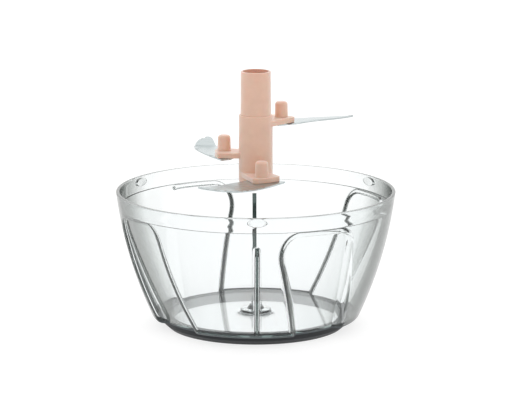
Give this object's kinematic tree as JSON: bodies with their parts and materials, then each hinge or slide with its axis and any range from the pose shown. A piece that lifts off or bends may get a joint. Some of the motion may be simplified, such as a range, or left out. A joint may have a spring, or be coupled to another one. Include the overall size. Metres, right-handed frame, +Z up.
{
  "type": "manual food chopper bowl with blade unit",
  "caption": "Clear round chopper bowl with recessed walls, non-slip foot and a centre pin, and a stepped plastic spindle with curved steel blades that lifts off and spins.",
  "frame": {"origin": "middle of the foot's lower face, on the axis of the bowl and the blade unit", "axes": "+Z up along the spindle, -Y towards the front as pictured"},
  "size_m": [0.1998, 0.1998, 0.184],
  "materials": {
    "clear_plastic": "clear, polished",
    "steel": "ground",
    "blade_steel": "fine polished with ground edge",
    "grey_rubber": "matte",
    "peach_plastic": "semi-gloss moulded",
    "white_plastic": "smooth"
  },
  "bodies": {
    "bowl_body": {"bowl": "clear_plastic", "center_pin": "steel", "non_slip_ring": "grey_rubber"},
    "pivot_body": {"pivot_bush": "white_plastic"},
    "blade_unit": {"spindle": "peach_plastic", "blade_lower": "blade_steel", "blade_middle": "blade_steel", "blade_upper": "blade_steel", "post_lower": "peach_plastic", "post_middle": "peach_plastic", "post_upper": "peach_plastic"}
  },
  "joints": [
    {"name": "blade_lift", "type": "slide", "parent": "bowl_body", "child": "pivot_body", "axis": [0, 0, 1], "range_m": [-0.0918, 0]},
    {"name": "blade_spin", "type": "hinge", "parent": "pivot_body", "child": "blade_unit", "pos_m": [0, 0, 0.11], "axis": [0, 0, 1], "continuous": true}
  ]
}
